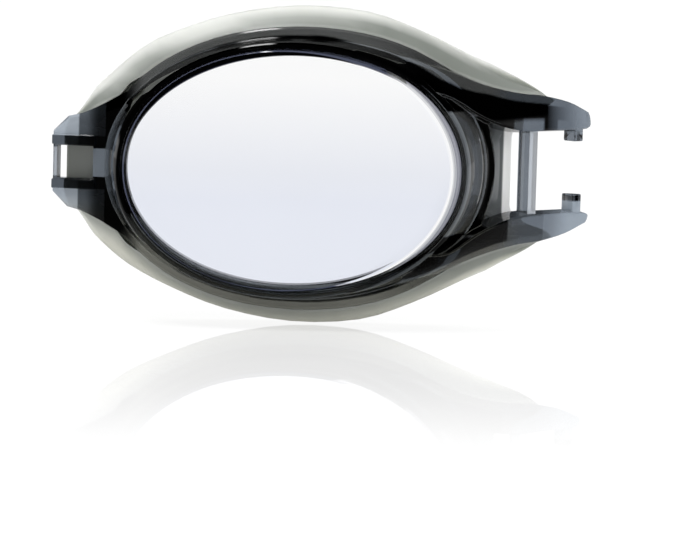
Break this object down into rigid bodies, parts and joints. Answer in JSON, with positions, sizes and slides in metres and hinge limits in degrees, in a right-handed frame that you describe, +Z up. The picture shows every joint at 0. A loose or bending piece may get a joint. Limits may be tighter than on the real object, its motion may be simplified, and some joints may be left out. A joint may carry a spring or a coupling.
{
  "type": "swimming goggle optical eyepiece",
  "caption": "Oval prescription eyepiece of clip-together swimming goggles: clear hollow-ground lens, smoke cup frame with a temple fork and a nose loop, and a soft grey gasket.",
  "frame": {"origin": "centre of the lens's flat front face", "axes": "+X towards the temple, +Y back towards the face, +Z up"},
  "size_m": [0.0724, 0.0248, 0.0416],
  "materials": {
    "clear_lens": "clear polycarbonate, polished",
    "smoke_frame": "smoke-tinted polycarbonate, polished, see-through where thin",
    "grey_silicone": "translucent grey silicone, smooth"
  },
  "bodies": {
    "root": {"optical_lens": "clear_lens", "eyepiece_frame": "smoke_frame", "face_gasket": "grey_silicone"}
  },
  "joints": []
}
